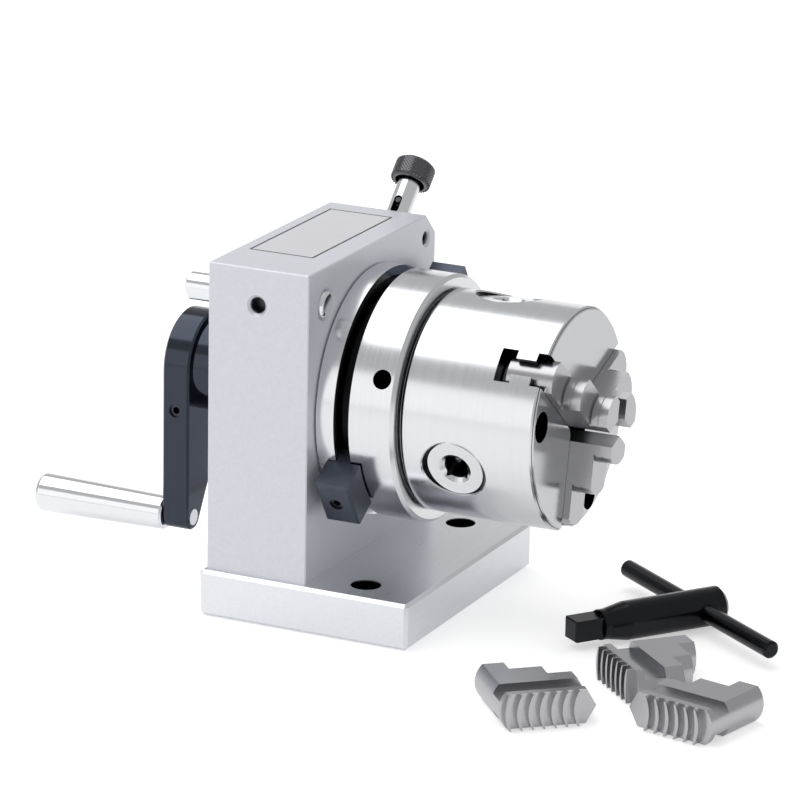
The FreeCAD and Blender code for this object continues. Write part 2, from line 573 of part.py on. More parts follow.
# Scroll plate: bevel teeth behind, the scroll thread in front
def bevel_point(along, offset, side):
    """A point of a tooth whose lines all run to the crossing of the two axes."""
    return FreeCAD.Vector(along * offset / size("scroll_r"), along, along * side / size("scroll_r"))


def toothed_ring():
    """The bevel teeth as one ring, standing on a flat back, in a frame at the axes' crossing."""
    pitch = size("scroll_r") * size("pitch_slope")
    near = pitch - size("addendum")
    far = pitch + size("dedendum")
    tip = size("tooth_tip") / 2
    root = size("tooth_root") / 2
    step = 360 / size("gear_teeth")
    loops = [[], [], [], []]
    for i in range(int(size("gear_teeth"))):
        turn = FreeCAD.Rotation(FreeCAD.Vector(1, 0, 0), size("pinion_first") + step * (i + 0.5))
        for offset, side in ((far, -root), (near, -tip), (near, tip), (far, root)):
            for loop, along in ((loops[0], size("gear_inner_r")), (loops[1], size("gear_outer_r"))):
                point = turn.multVec(bevel_point(along, offset, side))
                loop.append(point)
    back = size("gear_back") - size("pinion_x")
    loops[2] = [FreeCAD.Vector(back, point.y, point.z) for point in loops[0]]
    loops[3] = [FreeCAD.Vector(back, point.y, point.z) for point in loops[1]]
    count = len(loops[0])
    faces = []
    for first, second in ((0, 1), (0, 2), (1, 3)):
        for i in range(count):
            k = (i + 1) % count
            corners = [loops[first][i], loops[first][k], loops[second][k], loops[second][i]]
            faces.append(Part.Face(Part.makePolygon(corners + corners[:1])))
    wide, narrow = [Part.Face(Part.makePolygon(loops[i] + loops[i][:1])) for i in (3, 2)]
    faces += wide.cut(narrow).Faces
    shell = Part.Shell(faces)
    shell.sewShape()
    solid = Part.Solid(shell)
    if solid.Volume < 0:
        solid.reverse()
    return solid


def spiral(first, shift):
    """Quarter arcs of the scroll, whose radius grows by one pitch with each turn."""
    quarters = round(size("scroll_turns") * 4)
    points = []
    for i in range(2 * quarters + 1):
        radius = first + size("scroll_pitch") * i / 8 + shift
        points.append(around(45 * i) * radius)
    arcs = []
    for i in range(quarters):
        arcs.append(Part.Arc(*points[2 * i:2 * i + 3]).toShape())
    return arcs


def scroll_thread():
    half = size("scroll_rib") / 2
    low = spiral(size("scroll_first_r"), -half)
    high = spiral(size("scroll_first_r"), half)
    ends = [Part.makeLine(low[0].Vertexes[0].Point, high[0].Vertexes[0].Point),
            Part.makeLine(low[-1].Vertexes[-1].Point, high[-1].Vertexes[-1].Point)]
    face = Part.Face(Part.Wire(Part.__sortEdges__(low + high + ends)))
    depth = size("scroll_height") + size("scroll_gap")
    return face.extrude(FreeCAD.Vector(depth, 0, 0))


thread = document.addObject("Part::Feature", "scroll_thread")
thread.Shape = scroll_thread()
put(thread, ("scroll_floor - scroll_gap", "0", "axis_height"))
toothing = document.addObject("Part::Feature", "scroll_toothing")
toothing.Shape = toothed_ring()
put(toothing, ("pinion_x", "0", "axis_height"))
disc = turned("scroll_disc", [
    ("gear_back", "scroll_inner_r"), ("gear_back", "scroll_r"), ("scroll_floor", "scroll_r"),
    ("scroll_floor", "scroll_inner_r")])
scroll_plate = joined("scroll_plate", [disc, thread, toothing])


# Pinions
def pinion_teeth(along):
    """The toothed outline at a distance from the axes' crossing."""
    share = along / size("scroll_r")
    pitch = size("scroll_r") * size("pitch_slope")
    tip = size("tooth_tip") / 2
    root = size("tooth_root") / 2
    points = []
    for i in range(int(size("pinion_teeth"))):
        angle = 360 / size("pinion_teeth") * i
        for reach, side in ((pitch - size("dedendum"), -root), (pitch + size("addendum"), -tip),
                            (pitch + size("addendum"), tip), (pitch - size("dedendum"), root)):
            point = FreeCAD.Vector(along, reach * share, side * share)
            turn = FreeCAD.Rotation(FreeCAD.Vector(1, 0, 0), angle)
            points.append(turn.multVec(point))
    return Part.makePolygon(points + points[:1])


gear = Part.makeLoft([pinion_teeth(size("gear_inner_r")),
                      pinion_teeth(size("pinion_gear_r") + size("scroll_gap"))], True, True)
toothing = document.addObject("Part::Feature", "pinion_toothing")
toothing.Shape = gear
blank = turned("pinion_blank", [
    ("pinion_gear_r", "0"), ("pinion_gear_r", "pinion_neck_r"), ("pinion_back_r", "pinion_neck_r"),
    ("pinion_back_r", "pinion_head_r"), ("groove_in", "pinion_head_r"),
    ("groove_in", "pinion_waist_r"), ("groove_out", "pinion_waist_r"),
    ("groove_out", "pinion_head_r"), ("pinion_rim", "pinion_head_r"),
    ("pinion_face_r", "pinion_top_r"), ("pinion_face_r", "0")], ("0", "0", "0"))
whole = joined("pinion_whole", [blank, toothing])
square = box("pinion_socket", ("socket_depth", "socket_side", "socket_side"), (
    "pinion_face_r - socket_depth", "-socket_side / 2", "-socket_side / 2"))
mouth = cone("pinion_socket_mouth", "socket_mouth_r - socket_mouth", "socket_mouth_r",
             "socket_mouth", ("pinion_face_r - socket_mouth", "0", "0"))
pinion = cut("pinion", whole, [square, mouth])
for i, angle in enumerate(thirds("pinion_first"), 1):
    out = around(angle)
    ahead = FreeCAD.Vector(1, 0, 0)
    turn = FreeCAD.Rotation(out, ahead, out.cross(ahead), "XYZ")
    group("pinion_%d" % i, pinion, [(at_radius(size("pinion_x"), 0, 0), turn)])


# Jaws: local X points out of the chuck's face, local Y outward from its axis, Z across
def bow(radius, half):
    """How far an arc of this radius falls back over half a width."""
    return radius - math.sqrt(radius ** 2 - half ** 2)


def tier(inner, outer, low, high, half, curve):
    """A slab of a jaw between two radii. Its ends bow outward by the curve (out, in)."""
    def end(radius, bend):
        corners = [FreeCAD.Vector(low, radius, side * half) for side in (-1, 1)]
        if not bend:
            return corners, Part.makeLine(*corners)
        back = math.copysign(bow(abs(bend), half), bend)
        corners = [point - FreeCAD.Vector(0, back, 0) for point in corners]
        middle = FreeCAD.Vector(low, radius, 0)
        return corners, Part.Arc(corners[0], middle, corners[1]).toShape()
    (a, b), inside = end(inner, curve[0])
    (c, d), outside = end(outer, curve[1])
    wire = Part.Wire([inside, Part.makeLine(b, d), outside, Part.makeLine(c, a)])
    return Part.Face(wire).extrude(FreeCAD.Vector(high - low, 0, 0))


def jaw_shape(angle, tiers):
    """The jaw of one way. The angle sets where its teeth meet the scroll."""
    half = size("way_half_width") - size("way_gap")
    low = size("cavity_front") + size("jaw_float")
    solids = [tier(inner, outer, bottom, top, half, curve)
              for inner, outer, bottom, top, curve in tiers]
    shape = solids[0].multiFuse(solids[1:])
    tip = size("jaw_tip_r")
    wide = half * 2
    for side in (-1, 1):
        wedge = Part.Face(Part.makePolygon([
            FreeCAD.Vector(0, -wide, 0), FreeCAD.Vector(0, tip, 0),
            FreeCAD.Vector(0, tip + wide / math.tan(math.radians(size("tip_half_angle"))), side * wide),
            FreeCAD.Vector(0, -wide, side * wide), FreeCAD.Vector(0, -wide, 0)]))
        shape = shape.cut(wedge.extrude(FreeCAD.Vector(size("chuck_front") * 2, 0, 0)))
    waist = size("neck_half_width") - size("way_gap")
    for side in (-1, 1):
        flank = Part.makeBox(size("way_neck") + size("way_gap") * 2, size("chuck_r") * 2, half)
        flank.translate(FreeCAD.Vector(size("neck_back") - size("way_gap"), -size("chuck_r") / 2,
                                       waist if side > 0 else -waist - half))
        shape = shape.cut(flank)
    first = size("scroll_first_r") + size("scroll_pitch") * (0.5 + angle / 360)
    pitch = size("scroll_pitch")
    place = first - pitch * math.floor((first - size("tooth_first_r")) / pitch)
    teeth = []
    thick = size("tooth_thick")
    tooth_low = size("scroll_floor") + size("tooth_gap")
    while place + thick < size("jaw_end_r"):
        tooth = tier(place - thick / 2, place + thick / 2, tooth_low, low + size("jaw_float"),
                     half, (size("tooth_inner_curve"), size("tooth_outer_curve")))
        teeth.append(tooth)
        place += pitch
    return shape.multiFuse(teeth).removeSplitter()


def grooved(shape, radius, foot, top):
    """The jaw with a relief round the foot of one riser and a groove across the riser's middle."""
    half = size("way_half_width")
    bend = size("riser_r")
    relief = size("relief")
    middle = (foot + top) / 2
    for deep, low, high in ((relief, foot - relief / 2, foot + relief),
                            (size("groove_deep"), middle - size("groove_wide") / 2,
                             middle + size("groove_wide") / 2)):
        ring = tier(radius - deep, radius + relief / 2, low, high, half, (bend, bend))
        shape = shape.cut(ring)
    return shape


low = size("cavity_front") + size("jaw_float")
step_faces = [size("chuck_front") + size("step_one")]
step_faces.append(step_faces[0] + size("step_two"))
step_faces.append(step_faces[1] + size("step_three"))
riser = size("riser_r")
over = size("past")
inside_tiers = [
    (0, size("jaw_end_r"), low, step_faces[0], (0, riser)),
    (0, size("step_one_r"), step_faces[0] - over, step_faces[1], (0, riser)),
    (0, size("step_two_r"), step_faces[1] - over, step_faces[2], (0, riser))]
for i, angle in enumerate(thirds("jaw_first"), 1):
    jaw = document.addObject("Part::Feature", "jaw_%d" % i)
    jaw.Label = "jaw_%d" % i
    shape = jaw_shape(angle, inside_tiers)
    shape = grooved(shape, size("step_one_r"), step_faces[0], step_faces[1])
    jaw.Shape = grooved(shape, size("step_two_r"), step_faces[1], step_faces[2])
    put(jaw, ("0", "0", "axis_height"), FreeCAD.Rotation(FreeCAD.Vector(1, 0, 0), angle))

bend = size("spare_riser_r")
outside_tiers = [
    (0, size("jaw_end_r"), low, step_faces[0], (0, riser)),
    (size("spare_step_one_r"), size("jaw_end_r"), step_faces[0] - over, step_faces[1], (-bend, riser)),
    (size("spare_step_two_r"), size("jaw_end_r"), step_faces[1] - over, step_faces[2], (-bend, riser))]
for i, (word, flip) in enumerate((("one", False), ("two", True), ("three", False)), 1):
    spare = document.addObject("Part::Feature", "spare_jaw_%d" % i)
    spare.Label = "spare_jaw_%d" % i
    spare.Shape = jaw_shape(size("jaw_first") + 120 * (i - 1), outside_tiers)
    turn = FreeCAD.Rotation(FreeCAD.Vector(0, 0, 1), size("spare_%s_turn" % word))
    if flip:
        turn = turn.multiply(FreeCAD.Rotation(FreeCAD.Vector(1, 0, 0), 180))
    middle = FreeCAD.Vector(low, (size("jaw_tip_r") + size("jaw_end_r")) / 2, 0)
    place = FreeCAD.Vector(size("spare_%s_x" % word), size("spare_%s_y" % word),
                           size("way_half_width") - size("way_gap"))
    spare.Placement = FreeCAD.Placement(place - turn.multVec(middle), turn)

# Rear collar, crank and handle
ring = turned("collar_blank", [
    ("collar_front", "stub_r + fit"), ("collar_front", "collar_r"), ("arm_front", "collar_r"),
    ("arm_front", "collar_boss_r"), ("stub_back", "collar_boss_r"), ("stub_back", "stub_r + fit")])
collar_middle = "(collar_front + arm_front) / 2"
rear_collar = cut("rear_collar", ring, [
    rod("collar_screw_way", "five_r", "collar_r", (collar_middle, "0", "axis_height - collar_r"), UP)])
source = grub_screw("collar_grub", "five_r", "collar_screw_length", "five_key")
collar_screw = group("collar_screw", source, [(FreeCAD.Vector(
    (size("collar_front") + size("arm_front")) / 2, 0,
    size("axis_height") - size("stub_r") - size("collar_screw_length")), DOWN)])

blade = padded("arm_blade", "YZ_Plane", [
    ("arm_near_y", "axis_height"), ("arm_near_y", "tip_z"), ("tip_y", "tip_z"),
    ("flank_tip_y", "flank_tip_z"), ("flank_head_y", "flank_head_z"), ("0", "axis_height")],
    "arm_thick", ("arm_back", "0", "0"))
head = rod("arm_head", "arm_head_r", "arm_thick", ("arm_back", "0", "axis_height"))
tip = rod("arm_tip", "arm_tip_r", "arm_thick", ("arm_back", "tip_y", "tip_z"))
whole = joined("arm_whole", [blade, head, tip])
whole.Refine = True
document.recompute()
eased_arm = document.addObject("Part::Chamfer", "arm_eased")
eased_arm.Base = whole
eased_arm.Edges = [(i + 1, size("arm_edge"), size("arm_edge"))
                   for i, edge in enumerate(whole.Shape.Edges)
                   if edge.BoundBox.XLength < size("arm_edge")]
document.recompute()
tools = [
    rod("arm_bore", "collar_boss_r + fit", "arm_thick", ("arm_back", "0", "axis_height")),
    rod("axle_way", "axle_r", "arm_thick", ("arm_back", "tip_y", "tip_z")),
    rod("clamp_way", "five_r", "arm_head_r", ("arm_middle", "arm_near_y",
        "axis_height - clamp_drop"), NEAR),
]
crank_arm = cut("crank_arm", eased_arm, tools)
source = grub_screw("clamp_grub", "five_r", "clamp_length", "five_key")
crank_clamp_screw = group("crank_clamp_screw", source, [(FreeCAD.Vector(
    size("arm_middle"), size("arm_near_y") + size("block_edge") * 2,
    size("axis_height") - size("clamp_drop")), aim(FreeCAD.Vector(0, -1, 0)))])

handle_at = ("0", "tip_y", "tip_z")
handle_axle = turned("handle_axle", [
    ("arm_front", "0"), ("arm_front", "axle_r"), ("axle_back + block_edge", "axle_r"),
    ("axle_back", "axle_r - block_edge"), ("axle_back", "0")], handle_at)
handle_grip = turned("handle_grip", [
    ("grip_front", "grip_bore_r"), ("grip_front", "grip_mouth_r"),
    ("grip_shoulder", "grip_inner_r"), ("grip_back", "grip_outer_r"), ("grip_back", "0"),
    ("grip_bottom", "0"), ("grip_bottom", "grip_bore_r")], handle_at)
eased(handle_grip, "grip_dome", lambda edge: abs(edge.BoundBox.XMin - size("grip_back")) < 0.01
      and abs(edge.BoundBox.XMax - size("grip_back")) < 0.01 and edge.Length > 20, "Fillet")

# Stop pin with its clamp screw
stop_pin = turned("stop_pin", [
    ("stop_back", "0"), ("stop_back", "stop_end_r"), ("stop_end", "stop_r"),
    ("stop_front", "stop_r"), ("stop_front", "0")], ("0",) + stop_at)
eased(stop_pin, "stop_dome", lambda edge: abs(edge.BoundBox.XMin - size("stop_front")) < 0.01,
      "Fillet")
source = grub_screw("stop_grub", "six_r", "stop_grub_length", "six_key")
stop_pin_screw = group("stop_pin_screw", source, [(FreeCAD.Vector(
    size("stop_screw_x"), size("stop_screw_sunk") - size("block_half_width"), size("stop_z")),
    aim(FreeCAD.Vector(0, -1, 0)))])

# Stop dogs: a ring section that fills the dovetail groove, cut to the dog's width
source = grub_screw("dog_grub", "five_r", "dog_screw_length", "five_key")
for word in ("near", "far"):
    angle = size("dog_%s_angle" % word)
    turn = FreeCAD.Rotation(FreeCAD.Vector(1, 0, 0), angle)
    section = turned("dog_%s_ring" % word, [
        ("foot_back", "foot_bottom_r"), ("foot_front", "foot_bottom_r"),
        ("neck_far", "foot_top_r"), ("neck_far", "dog_under_r"), ("dog_front", "dog_under_r"),
        ("dog_front", "dog_ring_r"), ("dog_back", "dog_ring_r"), ("dog_back", "dog_under_r"),
        ("neck_near", "dog_under_r"), ("neck_near", "foot_top_r")], ("0", "0", "0"))
    block = padded("dog_%s_block" % word, "YZ_Plane", [
        ("pilot_r", "- dog_half_width"), ("dog_top_r", "- dog_half_width"),
        ("dog_top_r", "dog_half_width"), ("pilot_r", "dog_half_width")], "dog_front - dog_back",
        ("dog_back", "0", "0"))
    eased(block, "dog_edge",
          lambda edge: min(v.Y for v in edge.Vertexes) > size("pilot_r") + size("past"))
    wide = padded("dog_%s_foot" % word, "YZ_Plane", [
        ("pilot_r", "- dog_half_width"), ("dog_under_r", "- dog_half_width"),
        ("dog_under_r", "dog_half_width"), ("pilot_r", "dog_half_width")], "dog_front",
        ("0", "0", "0"))
    shape = document.addObject("Part::MultiCommon", "dog_%s_whole" % word)
    shape.Shapes = [section, joined("dog_%s_outer" % word, [block, wide])]
    document.recompute()
    dog = cut("stop_dog_" + word, shape, [
        rod("dog_%s_screw_way" % word, "five_r", "dog_top_r", (
            "(neck_near + neck_far) / 2", "0", "0"), NEAR)])
    put(dog, ("0", "0", "axis_height"), turn)
    top = size("dog_top_r") - size("dog_screw_sunk")
    middle = (size("neck_near") + size("neck_far")) / 2
    group("dog_screw_" + word, source, [(at_radius(middle, top, angle), aim(around(angle)))])

# Index plunger, built along its own axis: local X is the distance from the spindle's axis
ALONG_PLUNGER = aim(around(size("plunger_angle")))
plunger_at = ("index_x", "0", "axis_height")
tube = turned("sleeve_blank", [
    ("sleeve_bottom", "sleeve_bore_r"), ("sleeve_bottom", "sleeve_r"),
    ("sleeve_lip", "sleeve_r"), ("sleeve_top", "sleeve_lip_r"), ("sleeve_top", "stem_bore_r"),
    ("sleeve_shoulder", "stem_bore_r"), ("sleeve_shoulder", "sleeve_bore_r")],
    ("0", "0", "0"))
slot = box("sleeve_slot", ("slot_top - slot_bottom - slot_half * 2", "slot_half * 2",
           "sleeve_r * 4"), ("slot_bottom + slot_half", "-slot_half", "-sleeve_r * 2"))
slot_ends = [rod("sleeve_slot_end_%d" % i, "slot_half", "sleeve_r * 4", (x, "0", "-sleeve_r * 2"), UP)
             for i, x in enumerate(("slot_bottom + slot_half", "slot_top - slot_half"))]
plunger_sleeve = cut("plunger_sleeve", tube, [slot] + slot_ends)
ACROSS = FreeCAD.Rotation(around(size("plunger_angle")), FreeCAD.Vector(1, 0, 0),
                          around(size("plunger_angle") - 90), "XYZ")
put(plunger_sleeve, plunger_at, ACROSS)

pin = turned("plunger_blank", [
    ("pin_park", "0"), ("pin_park", "pin_tip_r"), ("pin_cone", "pin_r"), ("pin_shoulder", "pin_r"),
    ("pin_shoulder", "stem_r"), ("land_bottom", "stem_r"), ("land_bottom", "pin_r"),
    ("land_top", "pin_r"), ("land_top", "stem_r"), ("pin_top", "stem_r"), ("pin_top", "0")],
    ("0", "0", "0"))
plunger_pin = cut("plunger_pin", pin, [
    rod("cross_way", "cross_r", "pin_r * 4", ("cross_at", "0", "-pin_r * 2"), UP)])
put(plunger_pin, plunger_at, ACROSS)
plunger_cross_pin = rod("plunger_cross_pin", "cross_r", "cross_half * 2", (
    "index_x", "cross_at * %s - cross_half * cos(plunger_angle - 90)" % out_y,
    "axis_height + cross_at * %s - cross_half * sin(plunger_angle - 90)" % out_z),
    FreeCAD.Rotation(FreeCAD.Vector(0, 0, 1), around(size("plunger_angle") - 90)))
plunger_knob = turned("plunger_knob", [
    ("knob_bottom", "knob_bore_r"), ("knob_bottom", "knob_face_r"), ("knob_low", "knob_r"),
    ("knob_high", "knob_r"), ("knob_top", "knob_face_r"), ("knob_top", "0"), ("pin_top", "0"),
    ("pin_top", "stem_r"), ("knob_floor", "stem_r"), ("knob_floor", "knob_bore_r")],
    plunger_at, ALONG_PLUNGER)

coil = document.addObject("Part::Helix", "spring_line")
room = "(sleeve_shoulder - land_top - spring_wire * 3)"
bind(coil, Radius="spring_r", Pitch=room + " / spring_turns", Height=room)
ring = document.addObject("Part::RegularPolygon", "spring_section")
ring.Polygon = 6
bind(ring, Circumradius="spring_wire")
put(ring, ("spring_r", "0", "0"), FreeCAD.Rotation(FreeCAD.Vector(1, 0, 0), 90))
plunger_spring = document.addObject("Part::Sweep", "plunger_spring")
plunger_spring.Sections = [ring]
plunger_spring.Spine = (coil, ["Edge1"])
plunger_spring.Solid = True
plunger_spring.Frenet = True
put(plunger_spring, on_plunger("land_top + spring_wire * 1.5"), PLUNGE)

source = grub_screw("sleeve_grub", "five_r", "sleeve_screw_length", "five_key")
sleeve_screw = group("sleeve_screw", source, [(
    at_radius(size("index_x") + size("sleeve_r") + size("sleeve_screw_length"),
              size("sleeve_screw_r"), size("plunger_angle")), FORWARD)])

# Chuck key: local X runs from its square tip to its head
key = turned("key_blank", [
    ("key_tip_length - block_edge", "0"), ("key_tip_length - block_edge", "key_neck_r"),
    ("key_neck", "key_neck_r"), ("key_shoulder", "key_r"), ("key_top", "key_r"),
    ("key_length", "key_top_r"), ("key_length", "0")], ("0", "0", "0"))
square = padded("key_square", "XY_Plane", [
    ("0", "- key_half"), ("key_tip_length", "- key_half"), ("key_tip_length", "key_half"),
    ("0", "key_half")], "key_half * 2", ("0", "0", "-key_half"))
eased(square, "block_edge", lambda edge: edge.BoundBox.XMax < size("key_half"))
key_turn = FreeCAD.Rotation(FreeCAD.Vector(0, 0, 1), size("key_turn"))
key_body = cut("key_body", joined("key_whole", [key, square]), [
    rod("key_bar_way", "bar_r + slide_fit", "key_r * 4", ("bar_at", "-key_r * 2", "0"), NEAR)])
put(key_body, ("key_x", "key_y", "key_r"), key_turn)
key_bar = turned("key_bar", [
    ("bar_left", "0"), ("bar_left", "bar_end_r"), ("bar_low", "bar_r"), ("bar_high", "bar_r"),
    ("bar_half", "bar_end_r"), ("bar_half", "0")],
    ("key_x + bar_at * cos(key_turn)", "key_y + bar_at * sin(key_turn)", "key_r"),
    FreeCAD.Rotation(FreeCAD.Vector(0, 0, 1), size("key_turn") - 90))

NODES = """base_plate body_block base_screws base_dowels top_plate spindle_bush plunger_sleeve
sleeve_screw stop_pin_screw plunger_spring key_body spare_jaw_1 spare_jaw_2 spare_jaw_3
spindle rear_collar collar_screw crank_arm crank_clamp_screw handle_axle chuck_adapter
adapter_screws chuck_body chuck_cover chuck_screws pinion_screws scroll_plate pinion_1 pinion_2
pinion_3 jaw_1 jaw_2 jaw_3 stop_dog_near stop_dog_far dog_screw_near dog_screw_far stop_pin
plunger_pin plunger_cross_pin plunger_knob handle_grip key_bar""".split()

document.recompute()
for item in document.Objects:
    if any(word in item.State for word in ("Invalid", "Error")):
        raise RuntimeError("%s did not build" % item.Name)
os.makedirs("parts", exist_ok=True)
for node in NODES:
    piece = document.getObject(node)
    piece.Label = node
    shape = piece.Shape
    if shape.isNull() or not shape.isValid():
        raise RuntimeError("%s has no sound shape" % node)
    shape.exportStep("parts/%s.step" % node)
    print(node, len(shape.Solids), "solids", round(shape.Volume), "mm3")
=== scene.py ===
# %% [markdown]
# # A punch former with a three-jaw chuck
#
# A punch former is a small grinding fixture. A block on a ground plate carries a spindle, a crank
# turns the spindle, and a three-jaw chuck on its nose holds the punch. Every piece with a real shape
# comes from the CAD frame. This scene gives the pieces their finishes, adds the fine detail that CAD
# leaves out, and lights them as in a plain studio.

# %% Load the CAD frame
import json
import math

import bpy
from mathutils import Matrix, Vector


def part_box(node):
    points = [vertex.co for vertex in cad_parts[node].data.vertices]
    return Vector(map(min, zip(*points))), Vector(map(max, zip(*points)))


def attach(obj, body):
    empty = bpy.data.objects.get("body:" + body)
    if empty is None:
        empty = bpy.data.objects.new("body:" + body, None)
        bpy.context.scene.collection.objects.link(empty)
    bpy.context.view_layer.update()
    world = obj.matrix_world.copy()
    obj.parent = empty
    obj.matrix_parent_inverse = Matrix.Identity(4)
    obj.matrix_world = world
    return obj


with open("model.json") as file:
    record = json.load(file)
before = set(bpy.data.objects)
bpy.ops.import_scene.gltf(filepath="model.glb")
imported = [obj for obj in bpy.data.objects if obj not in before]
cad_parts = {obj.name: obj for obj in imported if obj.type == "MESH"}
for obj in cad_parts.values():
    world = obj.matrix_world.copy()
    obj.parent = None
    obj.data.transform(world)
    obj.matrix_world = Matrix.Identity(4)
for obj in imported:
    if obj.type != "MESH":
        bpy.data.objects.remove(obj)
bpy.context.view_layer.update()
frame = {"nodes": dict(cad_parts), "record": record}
nodes = frame["nodes"]
scene = bpy.context.scene

# %% [markdown]
# ## Places that the finishes and details share
#
# The spindle runs along X at a fixed height. The knurl and the painted shade in the hollows are laid
# out from it, so its place is read from the CAD pieces and written down once.

# %% Spindle axis and main places
MM = 0.001
chuck_low, chuck_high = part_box("chuck_body")
AXIS_HEIGHT = (chuck_low[2] + chuck_high[2]) / 2
CHUCK_RADIUS = (chuck_high[2] - chuck_low[2]) / 2
knob_low, knob_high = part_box("plunger_knob")
KNOB_CENTRE = (Vector(knob_low) + Vector(knob_high)) / 2
PLUNGE = Vector((0, 1, 1)).normalized()
print("Spindle axis", round(AXIS_HEIGHT / MM, 2), "mm, chuck radius", round(CHUCK_RADIUS / MM, 2))


# %% Select nothing, then one piece
def only(piece):
    """Operators act on all that is selected, so each piece is worked on alone."""
    bpy.ops.object.select_all(action="DESELECT")
    piece.select_set(True)
    bpy.context.view_layer.objects.active = piece


bpy.ops.object.select_all(action="DESELECT")

# %% [markdown]
# ## Finishes
#
# Nearly all of the tool is bare steel, so what tells the pieces apart is how each was machined:
# ground flat, turned round, plated or blackened. One helper makes a metal with its own roughness,
# and each finish adds the lines that its machine leaves.


# %% A plain metal to start each finish from
def metal(name, colour, rough, metallic=1.0):
    finish = bpy.data.materials.new(name)
    finish.use_nodes = True
    shader = finish.node_tree.nodes["Principled BSDF"]
    shader.inputs["Base Color"].default_value = (*colour, 1)
    shader.inputs["Metallic"].default_value = metallic
    shader.inputs["Roughness"].default_value = rough
    return finish, finish.node_tree, shader


# %% Lines left by a machine
def machined(name, colour, rough, stretch, depth, spread=0.06, metallic=1.0, shade=0.06):
    """A metal with fine lines: the stretch says how far the pattern is drawn out along X, Y, Z."""
    finish, tree, shader = metal(name, colour, rough, metallic)
    place = tree.nodes.new("ShaderNodeTexCoord")
    spacing = tree.nodes.new("ShaderNodeMapping")
    spacing.inputs["Scale"].default_value = stretch
    grain = tree.nodes.new("ShaderNodeTexNoise")
    grain.inputs["Scale"].default_value = 1
    grain.inputs["Detail"].default_value = 3
    tree.links.new(place.outputs["Object"], spacing.inputs["Vector"])
    tree.links.new(spacing.outputs["Vector"], grain.inputs["Vector"])
    wear = tree.nodes.new("ShaderNodeMapRange")
    wear.inputs["To Min"].default_value = rough - spread
    wear.inputs["To Max"].default_value = rough + spread
    tree.links.new(grain.outputs["Fac"], wear.inputs["Value"])
    tree.links.new(wear.outputs["Result"], shader.inputs["Roughness"])
    tone = tree.nodes.new("ShaderNodeMix")
    tone.data_type = "RGBA"
    tone.inputs["A"].default_value = (*[c * (1 - shade) for c in colour], 1)
    tone.inputs["B"].default_value = (*[min(c * (1 + shade), 1) for c in colour], 1)
    tree.links.new(grain.outputs["Fac"], tone.inputs["Factor"])
    tree.links.new(tone.outputs["Result"], shader.inputs["Base Color"])
    bump = tree.nodes.new("ShaderNodeBump")
    bump.inputs["Strength"].default_value = depth
    bump.inputs["Distance"].default_value = 0.02 * MM
    tree.links.new(grain.outputs["Fac"], bump.inputs["Height"])
    tree.links.new(bump.outputs["Normal"], shader.inputs["Normal"])
    return finish


# %% [markdown]
# ## Painted shade in hollows
#
# A groove or a hole in bright steel looks black, because the light that enters it never comes back
# out. That shade is painted into the finish's colour here: the shader measures how far each point
# lies from the hollow's own axis, and how far along it, and darkens the colour inside.


# %% Two small steps that the dark places are made of
def compare(tree, value, operation, limit):
    """Give 1 where the value is above or below the limit, and 0 elsewhere."""
    node = tree.nodes.new("ShaderNodeMath")
    node.operation = operation
    node.inputs[1].default_value = limit
    tree.links.new(value, node.inputs[0])
    return node.outputs["Value"]


def multiplied(tree, first, second):
    """Give 1 only where both are 1."""
    node = tree.nodes.new("ShaderNodeMath")
    node.operation = "MULTIPLY"
    tree.links.new(first, node.inputs[0])
    tree.links.new(second, node.inputs[1])
    return node.outputs["Value"]


# %% Paint shade into a finish inside a hollow
SHADOW = (0.012, 0.012, 0.013)


def paint_shade_in_hollow(finish, centre, direction, radius, low, high, colour=SHADOW):
    """Paint shade onto the points nearer to an axis than the radius, between two distances along it.
    """
    tree = finish.node_tree
    shader = tree.nodes["Principled BSDF"]
    turn = Vector(direction).to_track_quat("Z", "Y").to_matrix().transposed()
    place = tree.nodes.new("ShaderNodeTexCoord")
    local = tree.nodes.new("ShaderNodeMapping")
    local.inputs["Rotation"].default_value = turn.to_euler()
    local.inputs["Location"].default_value = -(turn @ Vector(centre))
    tree.links.new(place.outputs["Object"], local.inputs["Vector"])
    flat = tree.nodes.new("ShaderNodeVectorMath")
    flat.operation = "MULTIPLY"
    flat.inputs[1].default_value = (1, 1, 0)
    tree.links.new(local.outputs["Vector"], flat.inputs[0])
    away = tree.nodes.new("ShaderNodeVectorMath")
    away.operation = "LENGTH"
    tree.links.new(flat.outputs["Vector"], away.inputs[0])
    split = tree.nodes.new("ShaderNodeSeparateXYZ")
    tree.links.new(local.outputs["Vector"], split.inputs["Vector"])
    near = compare(tree, away.outputs["Value"], "LESS_THAN", radius)
    above = compare(tree, split.outputs["Z"], "GREATER_THAN", low)
    below = compare(tree, split.outputs["Z"], "LESS_THAN", high)
    inside = multiplied(tree, multiplied(tree, near, above), below)
    shade = tree.nodes.new("ShaderNodeMix")
    shade.data_type = "RGBA"
    shade.inputs["A"].default_value = shader.inputs["Base Color"].default_value
    if shader.inputs["Base Color"].is_linked:
        tree.links.new(shader.inputs["Base Color"].links[0].from_socket, shade.inputs["A"])
    shade.inputs["B"].default_value = (*colour, 1)
    tree.links.new(inside, shade.inputs["Factor"])
    tree.links.new(shade.outputs["Result"], shader.inputs["Base Color"])


# %% Draw a thin dark border round a flat plate
BORDER_INK = (0.03, 0.03, 0.033)


